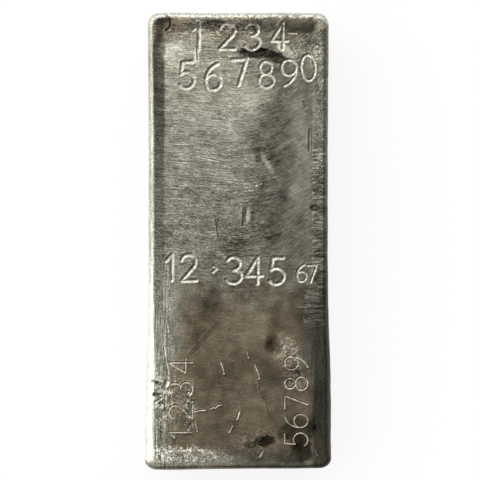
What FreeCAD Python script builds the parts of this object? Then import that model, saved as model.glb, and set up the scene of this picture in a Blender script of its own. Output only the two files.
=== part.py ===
"""A cast silver bar of about 14 kg: one solid poured into an open-topped mould.

The bar lies as it came out of the mould, on the small face, with the open, poured face up.
X runs across the bar, Y along it and Z up. The origin is the middle of the face it rests on.
The four walls lean outwards as they rise, which is the mould's draft. The poured face has a
rounded shoulder all round, and inside a narrow rim the metal has sunk as it froze into a
shallow dish. The dish is deepest at the head, +Y, and nearly level with the rim at the foot.
"""

import FreeCAD, Part  # noqa: E401
import math
import os

import Sketcher

# Density of fine silver, in kilograms for each cubic millimetre.
SILVER_DENSITY = 10.49e-6
# Two places this close, in millimetres, are the same place.
SAME_PLACE = 1e-3
# How a sketch's constraints name the two ends of a line, and the sketch's origin.
START, END = 1, 2
SKETCH_ORIGIN = (-1, 1)

# The driving dimensions, in millimetres and degrees.
DIMENSIONS = {
    "bar_length": 270.6,  # along Y, where the walls would meet the poured face
    "bar_width": 109.6,  # along X, where the walls would meet the poured face
    "bar_height": 48.72,  # from the resting face to the top of the rim
    "wall_draft": 4.5,  # how far each wall leans out from upright
    "upright_corner": 7.0,  # rounding where two walls meet
    "shoulder_radius": 3.6,  # rounding between the walls and the poured face
    "base_edge_radius": 3.0,  # rounding between the walls and the resting face
    "rim_land": 0.9,  # level top of the rim at the head, between the shoulder and the dish
    "dish_slope": 7.0,  # plan width of the slope from the rim down to the dish floor, at the head
    "dish_corner": 5.0,  # rounding where two slopes meet at the dish floor
    "sink_head": 1.5,  # depth of the dish floor at its head end, +Y
    "sink_foot": 0.35,  # depth of the dish floor at its foot end, -Y
    "slope_blend": 9.0,  # rounding between the slopes and the dish floor
}


def dimension_sheet(doc):
    """The spreadsheet whose cells hold the driving dimensions, each with its name as alias."""
    sheet = doc.addObject("Spreadsheet::Sheet", "dims")
    for row, (name, value) in enumerate(DIMENSIONS.items(), start=1):
        sheet.set(f"A{row}", name)
        sheet.set(f"B{row}", str(value))
        sheet.setAlias(f"B{row}", name)
    doc.recompute()
    return sheet


def rectangle(body, name, width, length):
    """A sketch of a rectangle about the origin, on the body's XY plane."""
    sketch = body.newObject("Sketcher::SketchObject", name)
    plane = next(f for f in body.Origin.OriginFeatures if f.Role == "XY_Plane")
    sketch.AttachmentSupport = [(plane, "")]
    sketch.MapMode = "FlatFace"

    # Rough places only: the constraints below set the real ones.
    half_width, half_length = 50, 130
    rough = (
        FreeCAD.Vector(half_width, -half_length, 0),
        FreeCAD.Vector(half_width, half_length, 0),
        FreeCAD.Vector(-half_width, half_length, 0),
        FreeCAD.Vector(-half_width, -half_length, 0),
    )
    for side, corner in enumerate(rough):
        next_corner = rough[(side + 1) % len(rough)]
        sketch.addGeometry(Part.LineSegment(corner, next_corner))

    def constrain(*terms):
        return sketch.addConstraint(Sketcher.Constraint(*terms))

    # Sides 0 and 2 run along the bar, and sides 1 and 3 across it.
    for side in range(4):
        constrain("Coincident", side, END, (side + 1) % 4, START)
    for along, across in ((0, 1), (2, 3)):
        constrain("Vertical", along)
        constrain("Horizontal", across)
    constrain("Symmetric", 0, START, 1, END, *SKETCH_ORIGIN)
    across = constrain("DistanceX", 1, END, 1, START, 2 * half_width)
    along = constrain("DistanceY", 0, START, 0, END, 2 * half_length)
    for constraint, size, expression in ((across, "width", width), (along, "length", length)):
        sketch.renameConstraint(constraint, size)
        sketch.setExpression(f"Constraints.{size}", expression)
    return sketch


def dish_floor(body):
    """The outline of the dish's floor, on a plane that falls towards the head."""
    border = "2 * (dims.shoulder_radius + dims.rim_land + dims.dish_slope)"
    length = f"(dims.bar_length - {border})"
    sketch = rectangle(body, "dish_floor", f"dims.bar_width - {border}", length)

    # The expressions set the height and the tilt; the turn of -1 only gives the tilt its axis.
    about_x = FreeCAD.Rotation(FreeCAD.Vector(1, 0, 0), -1)
    sketch.AttachmentOffset = FreeCAD.Placement(FreeCAD.Vector(), about_x)
    mean_sink = "(dims.sink_head + dims.sink_foot) / 2"
    tilt = f"atan((dims.sink_head - dims.sink_foot) / {length})"
    sketch.setExpression("AttachmentOffset.Base.z", f"dims.bar_height - {mean_sink}")
    sketch.setExpression("AttachmentOffset.Rotation.Angle", f"-{tilt}")
    return sketch


def named(kind, items, test):
    """The names, such as Face3, of the faces or edges of a shape that pass the test."""
    return [f"{kind}{number}" for number, item in enumerate(items, start=1) if test(item)]


def looks_up(face):
    """Whether a face's middle looks more upwards than sideways."""
    u_start, u_end, v_start, v_end = face.ParameterRange
    return face.normalAt((u_start + u_end) / 2, (v_start + v_end) / 2).z > math.sqrt(0.5)


def steep(edge):
    """Whether an edge climbs further than it runs."""
    box = edge.BoundBox
    return box.ZLength > max(box.XLength, box.YLength)


def rounding(body, base, name, radius, test):
    """A fillet on those edges of base that pass the test."""
    fillet = body.newObject("PartDesign::Fillet", name)
    fillet.Base = (base, named("Edge", base.Shape.Edges, test))
    fillet.setExpression("Radius", radius)
    body.Document.recompute()
    return fillet


def lean(body, base, name, angle, is_wall, is_neutral):
    """Tilts the walls of base about the lines where they would meet the neutral face."""
    draft = body.newObject("PartDesign::Draft", name)
    draft.Base = (base, named("Face", base.Shape.Faces, is_wall))
    draft.NeutralPlane = (base, named("Face", base.Shape.Faces, is_neutral))
    draft.setExpression("Angle", angle)
    return draft


def poured_block(body):
    """The block as the mould shapes it: the mouth's outline padded, then drafted inwards."""
    pad = body.newObject("PartDesign::Pad", "block")
    pad.Profile = rectangle(body, "mouth", "dims.bar_width", "dims.bar_length")
    pad.setExpression("Length", "dims.bar_height")
    body.Document.recompute()

    def is_wall(face):
        return face.BoundBox.ZLength > SAME_PLACE

    block = lean(body, pad, "mould_draft", "dims.wall_draft", is_wall, looks_up)
    block.Reversed = True
    body.Document.recompute()
    return block


def sunken_face(body, in_dish):
    """The dish: a pocket upwards from its floor, with rounded corners and laid-back walls."""
    pocket = body.newObject("PartDesign::Pocket", "sunken_face")
    pocket.Profile = dish_floor(body)
    pocket.Reversed = True
    pocket.setExpression("Length", "2 * dims.sink_head")
    body.Document.recompute()

    def is_corner(edge):
        return in_dish(edge) and steep(edge)

    def is_wall(face):
        return in_dish(face) and not looks_up(face)

    def is_floor(face):
        return in_dish(face) and looks_up(face)

    cornered = rounding(body, pocket, "dish_corners", "dims.dish_corner", is_corner)
    laid_back = "atan(dims.dish_slope / dims.sink_head)"
    slopes = lean(body, cornered, "dish_slopes", laid_back, is_wall, is_floor)
    body.Document.recompute()
    return slopes


def build_bar(doc, sheet):
    """The whole bar as one PartDesign body."""
    body = doc.addObject("PartDesign::Body", "silver_bar")
    body.Label = "silver_bar"
    block = poured_block(body)
    top = block.Shape.BoundBox.ZMax
    dish_bottom = top - sheet.sink_head

    def at_base(edge):
        return edge.BoundBox.ZMax < SAME_PLACE

    def at_top(item):
        return item.BoundBox.ZMin > top - SAME_PLACE

    def in_dish(item):
        return item.BoundBox.ZMin > dish_bottom - SAME_PLACE and not at_top(item)

    def round_dish_floor(edge):
        return in_dish(edge) and edge.BoundBox.ZMax < top - SAME_PLACE

    walls = rounding(body, block, "upright_corners", "dims.upright_corner", steep)
    heel = rounding(body, walls, "base_edges", "dims.base_edge_radius", at_base)
    rounding(body, heel, "shoulder", "dims.shoulder_radius", at_top)
    slopes = sunken_face(body, in_dish)
    rounding(body, slopes, "slope_foot", "dims.slope_blend", round_dish_floor)
    return body


def check(doc, body):
    """Stops the build if any object failed or the bar isn't one sound solid."""
    failed = [o.Name for o in doc.Objects if {"Invalid", "Error"} & set(o.State)]
    if failed:
        raise RuntimeError(f"these objects failed to recompute: {failed}")
    shape = body.Shape
    if shape.isNull() or not shape.isValid() or len(shape.Solids) != 1:
        raise RuntimeError("the bar isn't one valid solid")


def main():
    doc = FreeCAD.newDocument("silver_bar")
    sheet = dimension_sheet(doc)
    body = build_bar(doc, sheet)
    check(doc, body)
    os.makedirs("parts", exist_ok=True)
    body.Shape.exportStep(os.path.join("parts", f"{body.Label}.step"))

    box = body.Shape.optimalBoundingBox(False, False)
    print(f"box {box.XLength:.2f} x {box.YLength:.2f} x {box.ZLength:.2f} mm")
    print(f"volume {body.Shape.Volume / 1000:.2f} cm3")
    print(f"mass in fine silver {body.Shape.Volume * SILVER_DENSITY:.3f} kg")


main()
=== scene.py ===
# %% [markdown]
# # A cast silver bar
#
# The bar is one piece of metal of about 14 kg, poured into an open iron mould and left to
# freeze. The face that was open to the air lies on top here. It has a rounded shoulder all
# round, it sank a little as it froze, and then it was brushed, stamped with numbers, knocked
# about and left to tarnish.
#
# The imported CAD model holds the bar's true size. This lesson builds the skin that stands for
# it: one closed mesh with the dish, the shoulder, the stamped numbers and the dents as real
# geometry, and one metal whose tarnish, brush lines and stains are worked out from the place
# on the bar. Everything is written in millimetres and turned into metres at the end. x runs
# across the bar and y along it, from the foot at -135 to the head at +135.

# %% Load the frame
import math

import bmesh
import bpy
import numpy as np
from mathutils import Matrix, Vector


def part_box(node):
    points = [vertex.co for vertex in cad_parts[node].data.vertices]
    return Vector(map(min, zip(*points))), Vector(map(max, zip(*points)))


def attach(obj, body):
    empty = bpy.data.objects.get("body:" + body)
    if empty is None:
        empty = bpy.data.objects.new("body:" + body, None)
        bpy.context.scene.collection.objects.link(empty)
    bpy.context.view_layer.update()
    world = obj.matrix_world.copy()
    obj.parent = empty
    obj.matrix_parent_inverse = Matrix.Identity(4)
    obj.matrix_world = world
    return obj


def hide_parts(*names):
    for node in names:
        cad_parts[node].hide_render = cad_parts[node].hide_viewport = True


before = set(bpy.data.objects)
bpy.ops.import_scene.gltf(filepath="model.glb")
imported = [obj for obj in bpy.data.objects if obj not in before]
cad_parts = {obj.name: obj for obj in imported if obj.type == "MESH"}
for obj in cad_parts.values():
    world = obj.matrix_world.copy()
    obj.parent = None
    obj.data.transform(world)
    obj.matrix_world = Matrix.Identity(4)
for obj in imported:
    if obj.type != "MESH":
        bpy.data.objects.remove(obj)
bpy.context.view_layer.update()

MM = 0.001
bar_low, bar_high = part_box("silver_bar")
WIDTH, LENGTH, HEIGHT = ((bar_high - bar_low) / MM)[:]
print(f"the bar is {WIDTH:.1f} x {LENGTH:.1f} x {HEIGHT:.1f} mm")

# %% [markdown]
# ## The outline of the bar
#
# Seen from above the bar is a rectangle with rounded corners. Nearly every height on the
# poured face depends on how far in from that outline a place is, so the first helper measures
# that distance for whole arrays of places at once. It is the usual signed distance of a
# rounded box, turned round so that it grows inwards.

# %% Distance in from the outline
CORNER = 7.0
HALF_WIDTH = WIDTH / 2
HALF_LENGTH = LENGTH / 2


def inset(x, y):
    """How far in from the bar's outline each place is, in mm."""
    beyond_x = np.abs(x) - HALF_WIDTH + CORNER
    beyond_y = np.abs(y) - HALF_LENGTH + CORNER
    outside = np.hypot(np.maximum(beyond_x, 0), np.maximum(beyond_y, 0))
    return CORNER - outside - np.minimum(np.maximum(beyond_x, beyond_y), 0)


def ease(low, high, value):
    """0 below low, 1 above high and a smooth step between. Low may be the larger."""
    share = np.clip((value - low) / (high - low), 0, 1)
    return share * share * (3 - 2 * share)


print(f"the middle of the bar is {inset(0.0, 0.0):.1f} mm in from its outline")

# %% [markdown]
# ## A smooth random surface
#
# Cast metal is never quite flat. A table of fixed random numbers, read with smooth steps
# between its entries, gives soft bumps of any size. The table comes from a seeded generator,
# so the bar is the same every time it is made.

# %% Soft bumps
TABLE_SIZE = 256
# Keeps the middle of the bar off the table's own lines.
START_X, START_Y = 57.3, 91.7


def bumps(x, y, size, seed):
    """Soft random heights between -1 and 1, with bumps about size mm across."""
    table = np.random.default_rng(seed).uniform(-1, 1, (TABLE_SIZE, TABLE_SIZE))
    across, along = x / size + START_X, y / size + START_Y
    column, row = np.floor(across).astype(int), np.floor(along).astype(int)
    u, v = ease(0, 1, across - column), ease(0, 1, along - row)
    near_column, far_column = column % TABLE_SIZE, (column + 1) % TABLE_SIZE
    near_row, far_row = row % TABLE_SIZE, (row + 1) % TABLE_SIZE
    near = table[near_column, near_row] * (1 - u) + table[far_column, near_row] * u
    far = table[near_column, far_row] * (1 - u) + table[far_column, far_row] * u
    return near * (1 - v) + far * v


sample = bumps(np.arange(100.0), np.zeros(100), 9, 11)
print(f"along one line they run from {sample.min():.2f} to {sample.max():.2f}")

# %% [markdown]
# ## The punches
#
# The numbers were struck one digit at a time with steel punches, so they are single-line
# figures, set unevenly, some deeper than others. Each digit is a few paths in a box one unit
# high, made of straight lines and arcs. A mark is pressed into the metal by how far each
# place is from its path, which gives a groove with sloping walls and a raised lip.
#
# The figures are plain counting numbers that stand for no maker, weight or fineness.

# %% The digits as paths
ARC_STEPS = 14


def arc(x, y, across, up, start, end):
    """Points on an oval about (x, y), from one angle to another, in degrees."""
    angles = np.radians(np.linspace(start, end, ARC_STEPS))
    return [(x + across * math.cos(a), y + up * math.sin(a)) for a in angles]


DIGITS = {
    "0": [arc(0.3, 0.5, 0.29, 0.5, 90, 450)],
    "1": [[(0.1, 0.76), (0.32, 1.0), (0.32, 0.0)]],
    "2": [arc(0.3, 0.71, 0.28, 0.29, 165, -35) + [(0.02, 0.0), (0.6, 0.0)]],
    "3": [arc(0.28, 0.75, 0.25, 0.25, 150, -90), arc(0.28, 0.26, 0.3, 0.27, 80, -150)],
    "4": [[(0.44, 0.0), (0.44, 1.0), (0.0, 0.3), (0.62, 0.3)]],
    "5": [[(0.54, 1.0), (0.14, 1.0), (0.08, 0.54)] + arc(0.27, 0.31, 0.31, 0.31, 125, -145)],
    "6": [arc(0.3, 0.3, 0.29, 0.3, 0, 360), arc(0.78, 0.34, 0.77, 0.72, 175, 113)],
    "7": [[(0.02, 1.0), (0.58, 1.0), (0.2, 0.0)]],
    "8": [arc(0.3, 0.76, 0.23, 0.24, 0, 360), arc(0.3, 0.26, 0.29, 0.26, 0, 360)],
    "9": [arc(0.3, 0.7, 0.29, 0.3, 0, 360), arc(-0.18, 0.66, 0.77, 0.72, -5, -67)],
}
DIGIT_WIDTH = 0.6


def cosine_and_sine(turn):
    """The cosine and sine of a turn in degrees."""
    return math.cos(math.radians(turn)), math.sin(math.radians(turn))


print(f"{sum(len(paths) for paths in DIGITS.values())} paths draw the ten digits")

# %% [markdown]
# Each struck row is written as its digits with the middle of each one, how tall it is, how far
# it is turned, and how hard it was hit. The lower pair of rows run up the bar, so their
# digits lie on their sides.

# %% Where each mark was struck
BIG, SMALL, FINE = 15.4, 10.0, 13.6
WIDE_GROOVE, THIN_GROOVE = 1.4, 0.5

# digit, x, y, height, turn in degrees, half width of the groove, depth
MARKS = [
    ("1", -23.6, 120.6, BIG, 0, WIDE_GROOVE, 0.6),
    ("2", -6.6, 120.9, BIG, -1, WIDE_GROOVE, 0.65),
    ("3", 8.2, 120.9, BIG, 1, WIDE_GROOVE, 0.75),
    ("4", 24.2, 121.0, BIG, 0, 1.2, 0.65),
    ("5", -30.6, 97.8, BIG, 2, WIDE_GROOVE, 0.75),
    ("6", -14.8, 96.8, BIG, 0, WIDE_GROOVE, 0.8),
    ("7", 1.2, 99.4, BIG, 3, WIDE_GROOVE, 0.75),
    ("8", 16.4, 98.2, BIG, 2, 1.15, 0.75),
    ("9", 30.0, 99.2, BIG, 1, 1.1, 0.7),
    ("0", 41.8, 102.2, BIG, 4, 1.05, 0.6),
    ("1", -40.0, -15.4, BIG, 0, WIDE_GROOVE, 0.75),
    ("2", -29.6, -15.6, BIG, 1, WIDE_GROOVE, 0.75),
    ("3", -2.6, -17.0, BIG, 0, WIDE_GROOVE, 0.75),
    ("4", 9.2, -17.4, BIG, 0, WIDE_GROOVE, 0.8),
    ("5", 22.8, -17.6, BIG, -1, WIDE_GROOVE, 0.8),
    ("6", 37.8, -18.8, SMALL, 0, 0.85, 0.5),
    ("7", 44.4, -19.2, SMALL, 0, 0.85, 0.5),
    ("1", -34.0, -112.6, FINE, 90, THIN_GROOVE, 0.35),
    ("2", -34.0, -100.4, FINE, 90, THIN_GROOVE, 0.35),
    ("3", -34.0, -86.8, FINE, 90, THIN_GROOVE, 0.35),
    ("4", -34.0, -73.2, FINE, 90, THIN_GROOVE, 0.35),
    ("5", 33.8, -116.6, FINE, 90, THIN_GROOVE, 0.3),
    ("6", 33.8, -105.6, FINE, 90, THIN_GROOVE, 0.3),
    ("7", 33.8, -94.6, FINE, 90, THIN_GROOVE, 0.3),
    ("8", 33.8, -83.6, FINE, 90, THIN_GROOVE, 0.3),
    ("9", 33.8, -71.6, FINE, 90, THIN_GROOVE, 0.3),
]
print(f"{len(MARKS)} digits to strike")

# %% [markdown]
# The bar was also scratched and knocked. Each scratch runs through a few places. Its shine is
# 1 for a cut of fresh metal and -1 for one that is filled with dirt.

# %% Scratches and small knocks
# places along it, half width, depth, shine
SCRATCHES = [
    ([(-10.6, -71.0), (-9.4, -74.6), (-8.6, -78.0)], 0.55, 0.35, 1),
    ([(9.0, -71.8), (10.8, -76.0), (12.2, -80.8)], 0.5, 0.35, 1),
    ([(4.6, -64.2), (5.8, -68.8)], 0.4, 0.2, 0.8),
    ([(-26.2, -100.4), (-22.4, -99.4), (-19.6, -99.4)], 0.4, 0.25, 1),
    ([(-16.4, -98.6), (-14.6, -97.4), (-13.8, -98.2), (-12.0, -96.6), (-10.0, -96.2)], 0.45, 0.25, 1),
    ([(0.6, -100.0), (0.0, -102.0), (-0.8, -104.6)], 0.6, 0.3, 1),
    ([(-3.6, -108.6), (-5.6, -112.6)], 0.45, 0.25, 0.8),
    ([(6.2, 30.4), (6.6, 30.5)], 0.7, 0.4, 1),
    ([(7.9, 30.3), (8.2, 30.4)], 0.6, 0.35, 1),
    ([(10.4, 32.8), (10.8, 33.2)], 0.7, 0.4, 1),
    ([(12.8, 33.9), (13.2, 34.0)], 0.7, 0.4, 1),
    ([(-13.4, 13.0), (-12.6, 7.0), (-11.6, 1.8)], 0.38, 0.3, -1),
    ([(42.8, 66.0), (42.4, 60.0), (42.6, 53.0)], 0.8, 0.2, -0.4),
    ([(39.0, 82.0), (40.4, 78.6)], 1.0, 0.2, -0.3),
    ([(-43.0, 34.2), (-40.0, 32.0), (-32.6, 31.2)], 0.45, 0.2, 0.8),
    ([(-36.0, 46.6), (-29.0, 46.4)], 0.4, 0.15, 0.7),
    ([(-40.0, 57.6), (-28.6, 57.2)], 0.4, 0.15, 0.7),
    ([(-22.0, 49.4), (-12.0, 47.2)], 0.5, 0.15, 0.6),
    ([(-24.0, 37.4), (4.0, 34.0)], 0.4, 0.12, 0.5),
    ([(-12.4, -47.4), (-19.8, -56.0), (-28.6, -65.6)], 0.3, 0.04, -0.6),
    ([(-44.0, -62.0), (-42.8, -70.0), (-41.0, -78.0)], 0.5, 0.3, 1),
    ([(-42.4, -49.0), (-41.6, -53.4)], 0.4, 0.25, 0.8),
    ([(-25.4, -106.0), (-24.4, -112.0)], 0.4, 0.25, 0.8),
    ([(12.2, -82.0), (13.4, -89.0), (16.6, -95.0), (18.6, -103.0)], 0.5, 0.08, -0.35),
    ([(3.2, 21.0), (3.0, 14.4), (2.8, 9.0)], 0.7, 0.2, -0.5),
    ([(5.2, 19.4), (5.4, 13.0)], 1.5, 0.12, 0.35),
    ([(-50.4, -82.6), (-47.6, -83.6)], 1.4, 0.4, -0.5),
    ([(-48.0, -88.4), (-43.6, -86.8), (-41.8, -82.4)], 1.6, 0.3, 0.7),
    ([(-48.8, -90.4), (-47.4, -91.2)], 1.7, 0.5, -0.65),
    ([(-48.2, -94.4), (-45.2, -92.6)], 0.9, 0.3, 1),
    ([(-42.8, -86.0), (-42.8, -97.0)], 0.4, 0.2, 0.8),
    ([(-47.8, -126.4), (-48.0, -114.0)], 0.5, 0.2, 0.5),
    ([(12.4, -127.0), (14.0, -123.6)], 1.0, 0.2, 0.4),
    ([(44.0, -121.6), (46.0, -126.4)], 0.45, 0.2, 0.5),
    ([(35.0, -38.6), (43.0, -38.2)], 0.35, 0.15, 0.5),
    ([(-24.8, 114.6), (-24.0, 106.4)], 0.45, 0.25, -0.8),
]


# The point between the middle numbers, a dash beside the top row and the edge of a round punch
# that caught the corner
OTHER_MARKS = [
    ([(-14.6, -14.8), (-12.8, -16.2), (-14.8, -18.2)], 1.2, 0.7, 1.0),
    ([(29.6, 122.9), (34.4, 122.5)], 0.7, 0.4, 1.0),
    (arc(-44.6, 128.6, 4.4, 4.8, 62, -70), 1.0, 0.55, -0.7),
]


def struck_paths():
    """Every stamped or scratched path, in mm, with its groove's half width, depth and shine."""
    for digit, x, y, tall, turn, half_width, depth in MARKS:
        c, s = cosine_and_sine(turn)
        for path in DIGITS[digit]:
            upright = (np.array(path) - (DIGIT_WIDTH / 2, 0.5)) * tall
            yield upright @ np.array([[c, s], [-s, c]]) + (x, y), half_width, depth, 1.0
    for points, half_width, depth, shine in OTHER_MARKS + SCRATCHES:
        yield np.array(points), half_width, depth, shine


PATHS = list(struck_paths())
print(f"{len(MARKS)} marks struck in {len(PATHS)} paths")


# %% [markdown]
# Pressing a path into the face needs the distance from each place to that path. Only the
# places in a box round the path are asked, which keeps this quick.

# %% Distance to a path
def distance_to(path, x, y):
    """Distance of each place from a path of straight pieces, in mm."""
    nearest = np.full(x.shape, np.inf)
    for (ax, ay), (bx, by) in zip(path[:-1], path[1:]):
        run_x, run_y = bx - ax, by - ay
        length_squared = run_x * run_x + run_y * run_y
        share = np.clip(((x - ax) * run_x + (y - ay) * run_y) / length_squared, 0, 1)
        nearest = np.minimum(nearest, np.hypot(x - ax - share * run_x, y - ay - share * run_y))
    return nearest


def near_path(path, x, y, reach):
    """Which places lie inside a path's box, grown by reach."""
    low, high = path.min(0) - reach, path.max(0) + reach
    return (x > low[0]) & (x < high[0]) & (y > low[1]) & (y < high[1])


from_middle = distance_to(PATHS[0][0], np.zeros(1), np.zeros(1))[0]
print(f"the first path is {from_middle:.1f} mm from the middle of the bar")

# %% [markdown]
# ## The height of the poured face
#
# From the outline inwards come the rounded shoulder, a narrow rim, a slope and the sunken
# floor. Towards the foot the dish fades out and both edges roll away instead, because the
# mould was filled a little lower there. Over that lie soft casting bumps, then the dents, and
# last the stamps.

# %% Shoulder and dish
SHOULDER = 3.6
FOOT_SHOULDER_LOSS = 1.4
SIDE_SLOPE, HEAD_SLOPE = 6.4, 8.5
SINK_HEAD, SINK_FOOT = 1.5, 0.35
TORN_SLOPE = 2.6
FLAT_FOOT_SHARE = 0.4


def shoulder_height(y, d, ragged):
    """Height of the rounded shoulder at d in from the outline. It is tighter at the foot."""
    radius = SHOULDER - FOOT_SHOULDER_LOSS * ease(-120, -131, y) + ragged * ease(0, 2, d)
    short = np.clip(radius - d, 0, radius)
    return HEIGHT - radius + np.sqrt(radius**2 - short**2)


def dish_depth(x, y, d, ragged):
    """How far the face sank: down its slope near the rim, then fully on the dish's floor."""
    share_along = np.clip((y + HALF_LENGTH) / LENGTH, 0, 1)
    sink = SINK_FOOT + (SINK_HEAD - SINK_FOOT) * share_along
    by_head = HALF_LENGTH - y < HALF_WIDTH - np.abs(x)
    slope = np.where(by_head, HEAD_SLOPE, SIDE_SLOPE)
    at_head = ease(100, 118, y)
    torn = TORN_SLOPE * bumps(x, y, 10, 13) * at_head * ease(2, 5, d)
    down = np.clip((d - SHOULDER + ragged * (x > 0) + torn) / slope, 0, 1)
    down = down + (ease(0, 1, down) - down) * at_head
    footward = ease(0, -75, y)
    return sink * ((1 - footward) * down + footward * FLAT_FOOT_SHARE)


sunk = dish_depth(np.zeros(2), np.array([100.0, -100.0]), np.full(2, 30.0), 0.0)
print(f"the dish is {sunk[0]:.2f} mm deep near the head and {sunk[1]:.2f} mm near the foot")

# %% [markdown]
# At the foot the right edge falls away in a broad flat chamfer, and the left one rolls off
# and ends in a narrow lip.

# %% Edges that roll away
CHAMFER_WIDTH, CHAMFER_SPREAD, CHAMFER_DROP = 10.5, 5.0, 1.9
LEFT_ROLL, LEFT_DROP = 15.0, 0.9
LIP_ROLL, LIP_DROP = 4.2, 0.5


def rolled_edges(x, y):
    """How far the two long edges fall away towards the foot."""
    chamfered = ease(-16, -48, y)
    from_right, from_left = HALF_WIDTH - x, HALF_WIDTH + x
    width = CHAMFER_WIDTH + CHAMFER_SPREAD * ease(-88, -62, y)
    drop = CHAMFER_DROP * chamfered * np.clip(1 - from_right / width, 0, 1)
    drop += LEFT_DROP * ease(0, -75, y) * np.clip(1 - from_left / LEFT_ROLL, 0, 1) ** 2
    return drop + LIP_DROP * chamfered * np.clip(1 - from_left / LIP_ROLL, 0, 1)


fallen = rolled_edges(np.array([HALF_WIDTH, -HALF_WIDTH]), np.full(2, -100.0))
print(f"near the foot the right edge falls {fallen[0]:.2f} mm and the left {fallen[1]:.2f}")

# %% [markdown]
# Knocks left dents, which are oval hollows with soft edges, and chewed up a few places.

# %% Dents and chewed places
# x, y, half width, half length, turn in degrees, depth: negative depths stand proud
DENTS = [
    (4.6, 15.6, 1.3, 5.4, -6, 0.45),
    (7.6, 15.0, 1.3, 5.2, -6, -0.3),
    (45.2, 19.4, 1.6, 1.2, 0, 0.4),
    (-47.6, -90.6, 2.6, 1.4, 0, 0.7),
    (-44.0, -95.0, 3.0, 5.0, 20, 0.35),
    (20.2, -59.6, 2.6, 4.2, -20, 0.3),
    (26.0, -67.0, 5.0, 7.0, 10, -0.25),
    (17.0, 109.0, 11.0, 3.4, -10, 0.4),
    (-36.0, 111.0, 6.0, 8.0, -15, -0.3),
    (-20.0, 60.0, 9.0, 14.0, 30, 0.15),
    (22.0, 44.0, 12.0, 9.0, -20, 0.2),
    (-8.0, -48.0, 14.0, 10.0, 10, 0.15),
    (-16.0, -38.0, 4.0, 12.0, -20, 0.3),
    (16.0, 80.0, 8.0, 12.0, -30, 0.18),
]

# Places where the skin was chewed up: x, y, half width, half length, roughness in mm
CHEWED = [
    (-44.5, -92.0, 7.0, 15.0, 0.3),
    (-29.0, -100.0, 4.0, 12.0, 0.16),
    (27.0, -66.0, 7.0, 10.0, 0.16),
    (48.5, 70.0, 3.5, 46.0, 0.14),
    (-32.0, -126.0, 24.0, 4.5, 0.14),
    (44.0, 112.0, 8.0, 9.0, 0.16),
    (0.0, 128.0, 46.0, 4.5, 0.16),
]


def dent(x, y, place_x, place_y, half_width, half_length, turn, depth):
    """The drop of one dent, an oval hollow with a soft edge."""
    c, s = cosine_and_sine(turn)
    along = ((x - place_x) * c + (y - place_y) * s) / half_width
    up = ((y - place_y) * c - (x - place_x) * s) / half_length
    return depth * np.exp(-1.5 * (along**2 + up**2))


print(f"{len(DENTS)} dents and {len(CHEWED)} chewed places")

# %% [markdown]
# The skin is then three sizes of casting bump, less the dents and the chewed places, less the
# ticks that the edge of the mould tool left across the right-hand slope.

# %% The skin and the whole poured face
CAST_BUMPS = [(0.14, 24, 1), (0.06, 8, 2), (0.025, 3, 3)]  # height, size, seed
TICK_DEPTH = 0.05


def skin_relief(x, y, d):
    """Casting bumps, with the dents, the chewed skin and the ticks taken out of them."""
    relief = ease(2, 6, d) * sum(high * bumps(x, y, size, seed) for high, size, seed in CAST_BUMPS)
    for values in DENTS:
        relief = relief - dent(x, y, *values)
    for place_x, place_y, half_width, half_length, rough in CHEWED:
        reach = ((x - place_x) / half_width) ** 2 + ((y - place_y) / half_length) ** 2
        chewed = ease(1.2, 0.4, reach) * ease(0.5, 3, d)
        relief = relief + rough * chewed * bumps(x, y, 2.6, 41)
    ticks = ease(42.5, 45.5, x) * ease(53.5, 50.5, x) * ease(64, 50, y) * ease(-60, -48, y)
    return relief - TICK_DEPTH * ticks * ease(0.1, 0.7, bumps(x * 0.2, y, 2.2, 51))


def poured_height(x, y):
    """Height of the poured face, in mm, before the stamps."""
    d = inset(x, y)
    ragged = 0.3 * bumps(x, y, 9, 11) + 0.15 * bumps(x, y, 3.5, 12)
    z = shoulder_height(y, d, ragged) - dish_depth(x, y, d, ragged)
    return z - rolled_edges(x, y) + skin_relief(x, y, d)


floor_line = poured_height(np.zeros(9), np.linspace(100.0, -100.0, 9))
print("down the middle the face lies at", floor_line.round(1))

# %% [markdown]
# A punch pushes metal aside as it goes in, so each groove has sloping walls and a low lip. A
# digit goes in a little deeper towards its own lower end.

# %% Stamps pressed in
GROOVE_DEPTH = 0.62
LOW_END_DEEPER, END_TILT = 1.2, 0.4
LIP = 0.09
LIP_WIDTH = 0.4


def strike(x, y, z):
    """Presses every stamped path into the heights. Gives back how far into a groove each is."""
    struck = np.zeros_like(z)
    cut = np.zeros_like(z)
    for path, half_width, depth, shine in PATHS:
        near = near_path(path, x, y, half_width + 3 * LIP_WIDTH)
        away = distance_to(path, x[near], y[near])
        into = np.clip(1 - away / half_width, 0, 1)
        low, high = path[:, 1].min(), path[:, 1].max()
        share_up = np.clip((y[near] - low) / (high - low + 1e-6), 0, 1)
        deeper = LOW_END_DEEPER - END_TILT * share_up
        lip = LIP * np.exp(-(((away - half_width - LIP_WIDTH / 2) / LIP_WIDTH) ** 2))
        # A groove's wall is steepest at its lip and flattens towards its bottom.
        wall = into * (1.5 - 0.5 * into)
        groove = GROOVE_DEPTH * depth * deeper * wall
        deepest = np.minimum(cut[near], lip - groove)
        on_lip = (deepest > -lip) & (into == 0)
        cut[near] = np.where(on_lip, np.maximum(deepest, lip), deepest)
        struck[near] += (shine - struck[near]) * ease(0, 0.45, into)
    return z + cut, struck


hardest = max(depth for path, half_width, depth, shine in PATHS)
print(f"the deepest groove goes {GROOVE_DEPTH * LOW_END_DEEPER * hardest:.2f} mm down")

# %% [markdown]
# ## The mesh
#
# A plain grid in plan is the simplest start. Its outer lines crowd together where the shoulder
# curves and where the slope meets the floor, so that no curve is cut by a wide cell.

# %% Lines of the grid
CELL = 1.25
SHOULDER_ROWS = 6
SLOPE_ROWS = 5
CREASE = 0.45


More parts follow.
